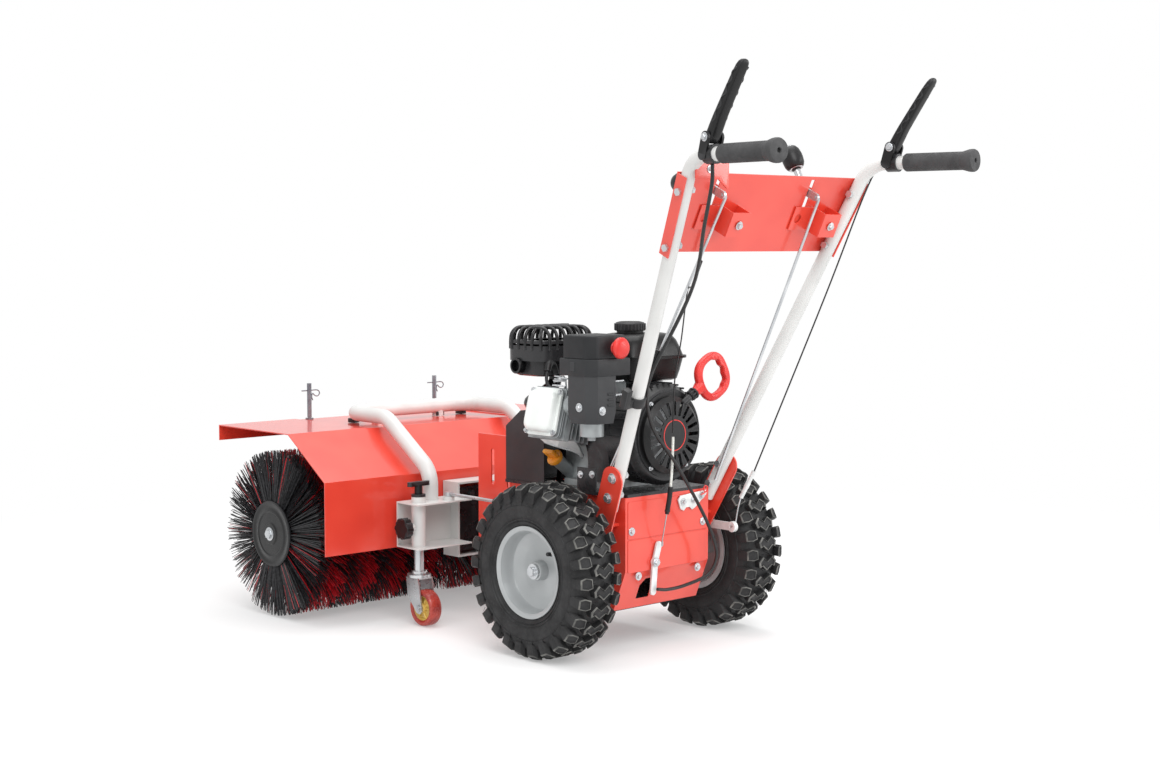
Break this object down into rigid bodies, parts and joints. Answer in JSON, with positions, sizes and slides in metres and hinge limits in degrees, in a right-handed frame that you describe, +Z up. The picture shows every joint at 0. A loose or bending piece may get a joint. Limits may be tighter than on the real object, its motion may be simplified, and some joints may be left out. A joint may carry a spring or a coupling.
{
  "type": "power brush sweeper",
  "caption": "Walk-behind power brush sweeper with an engine, drive wheels, handlebars and a swivelling brush head on castors.",
  "frame": {"origin": "on the floor, under the middle of the whole machine's bounding box", "axes": "+Y forward, towards the brush; +X to the machine's right; +Z up"},
  "size_m": [0.818, 1.4574, 1.0743],
  "materials": {
    "red_paint": "satin",
    "black_paint": "satin",
    "grey_paint": "satin",
    "zinc_steel": "satin",
    "engine_alloy": "satin",
    "tyre_rubber": "matte",
    "grip_rubber": "matte",
    "black_plastic": "matte",
    "tank_gloss": "gloss",
    "orange_plastic": "gloss",
    "red_plastic": "gloss",
    "castor_tread": "satin",
    "bristle_plastic": "matte",
    "belt_rubber": "matte"
  },
  "bodies": {
    "chassis": {"side_plate_left": "red_paint", "side_plate_right": "red_paint", "engine_tray": "black_paint", "rear_cover": "red_paint", "swivel_tower": "red_paint", "axle_bearings": "zinc_steel", "handle_left": "grey_paint", "handle_right": "grey_paint", "control_panel": "red_paint", "lever_mounts": "black_plastic", "grips": "grip_rubber", "engine_block": "engine_alloy", "valve_cover": "engine_alloy", "muffler": "black_paint", "carb_cover": "black_plastic", "carburettor": "engine_alloy", "fuel_tank": "tank_gloss", "fan_shroud": "black_paint", "recoil_cover": "black_plastic", "belt_guard": "black_paint", "control_cables": "black_plastic", "frame_bolts": "zinc_steel", "drive_belt": "belt_rubber"},
    "crank": {"crankshaft": "zinc_steel"},
    "wheels": {"axle": "zinc_steel", "rims": "grey_paint", "tyre_left": "tyre_rubber", "tyre_right": "tyre_rubber"},
    "drive": {"drive_shaft": "zinc_steel"},
    "head": {"hood": "red_paint", "guard_tube": "grey_paint", "castor_brackets": "grey_paint", "swivel_yoke": "grey_paint", "brush_gearbox": "black_paint", "hood_pins": "zinc_steel"},
    "input": {"input_shaft": "zinc_steel"},
    "brush": {"brush_shaft": "zinc_steel", "bristles_left": "bristle_plastic", "bristles_right": "bristle_plastic"},
    "castor_stem_left": {"castor_stem_left": "zinc_steel"},
    "castor_fork_left": {"castor_fork_left": "zinc_steel"},
    "castor_wheel_left": {"castor_wheel_left": "castor_tread"},
    "castor_knob_left": {"castor_knob_left": "black_plastic"},
    "clutch_lever_left": {"clutch_lever_left": "black_plastic"},
    "clutch_arm_left": {"clutch_arm_left": "zinc_steel"},
    "castor_stem_right": {"castor_stem_right": "zinc_steel"},
    "castor_fork_right": {"castor_fork_right": "zinc_steel"},
    "castor_wheel_right": {"castor_wheel_right": "castor_tread"},
    "castor_knob_right": {"castor_knob_right": "black_plastic"},
    "clutch_lever_right": {"clutch_lever_right": "black_plastic"},
    "clutch_arm_right": {"clutch_arm_right": "zinc_steel"},
    "gear_lever": {"gear_lever": "zinc_steel"},
    "gear_rod": {"gear_rod": "zinc_steel"},
    "swivel_lever": {"swivel_lever": "zinc_steel"},
    "swivel_rod": {"swivel_rod": "zinc_steel"},
    "tie_rod": {"tie_rod": "zinc_steel"},
    "starter_handle": {"starter_handle": "red_plastic"},
    "fuel_cap": {"fuel_cap": "black_plastic"},
    "dipstick": {"dipstick": "orange_plastic"},
    "choke_knob": {"choke_knob": "red_plastic"}
  },
  "joints": [
    {"name": "head_swivel", "type": "hinge", "parent": "chassis", "child": "head", "pos_m": [0, 0.24965, 0.2], "axis": [0, 0, 1], "range_deg": [-15, 15]},
    {"name": "axle_spin", "type": "hinge", "parent": "chassis", "child": "wheels", "pos_m": [0, -0.12035, 0.165], "axis": [1, 0, 0], "continuous": true},
    {"name": "crank_spin", "type": "hinge", "parent": "chassis", "child": "crank", "pos_m": [0, -0.12035, 0.412], "axis": [0, 1, 0], "continuous": true},
    {"name": "drive_spin", "type": "hinge", "parent": "chassis", "child": "drive", "pos_m": [0, 0.17965, 0.175], "axis": [0, 1, 0], "continuous": true},
    {"name": "input_spin", "type": "hinge", "parent": "head", "child": "input", "pos_m": [0, 0.24965, 0.175], "axis": [0, 1, 0], "continuous": true},
    {"name": "brush_spin", "type": "hinge", "parent": "head", "child": "brush", "pos_m": [0, 0.53465, 0.175], "axis": [1, 0, 0], "continuous": true},
    {"name": "castor_slide_left", "type": "slide", "parent": "head", "child": "castor_stem_left", "axis": [0, 0, 1], "range_m": [-0.04, 0]},
    {"name": "castor_swivel_left", "type": "hinge", "parent": "castor_stem_left", "child": "castor_fork_left", "pos_m": [-0.215, 0.27365, 0.1], "axis": [0, 0, 1], "continuous": true},
    {"name": "castor_roll_left", "type": "hinge", "parent": "castor_fork_left", "child": "castor_wheel_left", "pos_m": [-0.215, 0.25165, 0.037], "axis": [1, 0, 0], "continuous": true},
    {"name": "castor_screw_left", "type": "hinge", "parent": "head", "child": "castor_knob_left", "pos_m": [-0.215, 0.27365, 0.27], "axis": [0, 0, 1], "range_deg": [-720, 0]},
    {"name": "clutch_left", "type": "hinge", "parent": "chassis", "child": "clutch_lever_left", "pos_m": [-0.2439, -0.56338, 0.951], "axis": [0.9914, -0.1305, 0], "range_deg": [0, 45]},
    {"name": "castor_slide_right", "type": "slide", "parent": "head", "child": "castor_stem_right", "axis": [0, 0, 1], "range_m": [-0.04, 0]},
    {"name": "castor_swivel_right", "type": "hinge", "parent": "castor_stem_right", "child": "castor_fork_right", "pos_m": [0.215, 0.27365, 0.1], "axis": [0, 0, 1], "continuous": true},
    {"name": "castor_roll_right", "type": "hinge", "parent": "castor_fork_right", "child": "castor_wheel_right", "pos_m": [0.215, 0.25165, 0.037], "axis": [1, 0, 0], "continuous": true},
    {"name": "castor_screw_right", "type": "hinge", "parent": "head", "child": "castor_knob_right", "pos_m": [0.215, 0.27365, 0.27], "axis": [0, 0, 1], "range_deg": [-720, 0]},
    {"name": "clutch_right", "type": "hinge", "parent": "chassis", "child": "clutch_lever_right", "pos_m": [0.2439, -0.56338, 0.951], "axis": [0.9914, 0.1305, 0], "range_deg": [0, 45]},
    {"name": "clutch_arm_left", "type": "hinge", "parent": "chassis", "child": "clutch_arm_left", "pos_m": [-0.04, -0.22935, 0.172], "axis": [0, 1, 0], "range_deg": [0, 12]},
    {"name": "clutch_arm_right", "type": "hinge", "parent": "chassis", "child": "clutch_arm_right", "pos_m": [0.13, -0.17235, 0.222], "axis": [-1, 0, 0], "range_deg": [0, 15]},
    {"name": "gear_shift", "type": "hinge", "parent": "chassis", "child": "gear_lever", "pos_m": [0.112, -0.46144, 0.87243], "axis": [1, 0, 0], "range_deg": [-20, 20]},
    {"name": "gear_rod_pin", "type": "hinge", "parent": "gear_lever", "child": "gear_rod", "pos_m": [0.112, -0.4885, 0.85947], "axis": [1, 0, 0], "range_deg": [-20, 20]},
    {"name": "swivel_control", "type": "hinge", "parent": "chassis", "child": "swivel_lever", "pos_m": [-0.138, -0.46144, 0.87243], "axis": [1, 0, 0], "range_deg": [-20, 20]},
    {"name": "swivel_rod_pin", "type": "hinge", "parent": "swivel_lever", "child": "swivel_rod", "pos_m": [-0.138, -0.4885, 0.85947], "axis": [1, 0, 0], "range_deg": [-20, 20]},
    {"name": "tie_rod_pin", "type": "hinge", "parent": "head", "child": "tie_rod", "pos_m": [-0.146, 0.26165, 0.258], "axis": [0, 0, 1], "range_deg": [-15, 15]},
    {"name": "starter_pull", "type": "slide", "parent": "chassis", "child": "starter_handle", "axis": [0.866, 0, 0.5], "range_m": [0, 0.1]},
    {"name": "fuel_cap_turn", "type": "hinge", "parent": "chassis", "child": "fuel_cap", "pos_m": [0, -0.12035, 0.6], "axis": [0, 0, 1], "range_deg": [0, 90]},
    {"name": "dipstick_turn", "type": "hinge", "parent": "chassis", "child": "dipstick", "pos_m": [-0.094, -0.02435, 0.347], "axis": [-0.788, 0, 0.6157], "continuous": true},
    {"name": "choke_pull", "type": "slide", "parent": "chassis", "child": "choke_knob", "axis": [0, -1, 0], "range_m": [0, 0.02]}
  ],
  "couplings": [
    {"joint": "drive_spin", "follows": "brush_spin", "ratio": 2},
    {"joint": "input_spin", "follows": "brush_spin", "ratio": 2},
    {"joint": "castor_screw_left", "follows": "castor_slide_left", "rad_per_m": 314.16},
    {"joint": "castor_screw_right", "follows": "castor_slide_right", "rad_per_m": 314.16},
    {"joint": "clutch_arm_left", "follows": "clutch_left", "ratio": 0.26667},
    {"joint": "clutch_arm_right", "follows": "clutch_right", "ratio": 0.33333},
    {"joint": "gear_rod_pin", "follows": "gear_shift", "ratio": -1},
    {"joint": "swivel_control", "follows": "head_swivel", "ratio": 1.3333},
    {"joint": "swivel_rod_pin", "follows": "head_swivel", "ratio": -1.3333},
    {"joint": "tie_rod_pin", "follows": "head_swivel", "ratio": -1}
  ]
}
